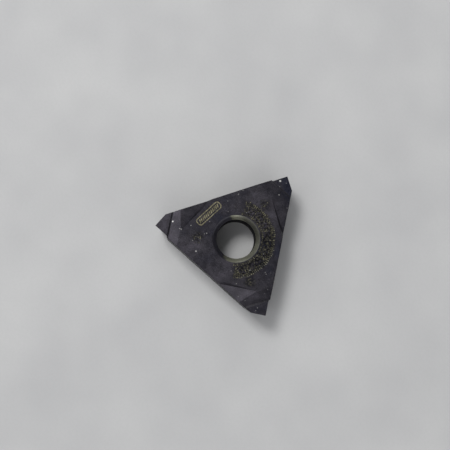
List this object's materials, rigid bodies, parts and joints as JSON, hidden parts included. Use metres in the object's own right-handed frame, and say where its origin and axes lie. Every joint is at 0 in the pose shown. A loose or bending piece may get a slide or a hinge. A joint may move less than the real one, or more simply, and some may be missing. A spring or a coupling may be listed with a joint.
{
  "type": "triangular grooving insert",
  "caption": "Triangular cemented carbide grooving insert, with a ground cutting tip, chip groove and chip pocket at every corner and a central screw bore.",
  "frame": {"origin": "middle of the bore, halfway between the cutting face and the seat face", "axes": "+Z out of the cutting face along the bore, +Y through one of the corners, +X along the side opposite that corner"},
  "size_m": [0.0199, 0.0177, 0.0048],
  "materials": {
    "coated_carbide": "satin dark violet-grey hard coating"
  },
  "bodies": {
    "root": {"carbide_insert": "coated_carbide"}
  },
  "joints": []
}
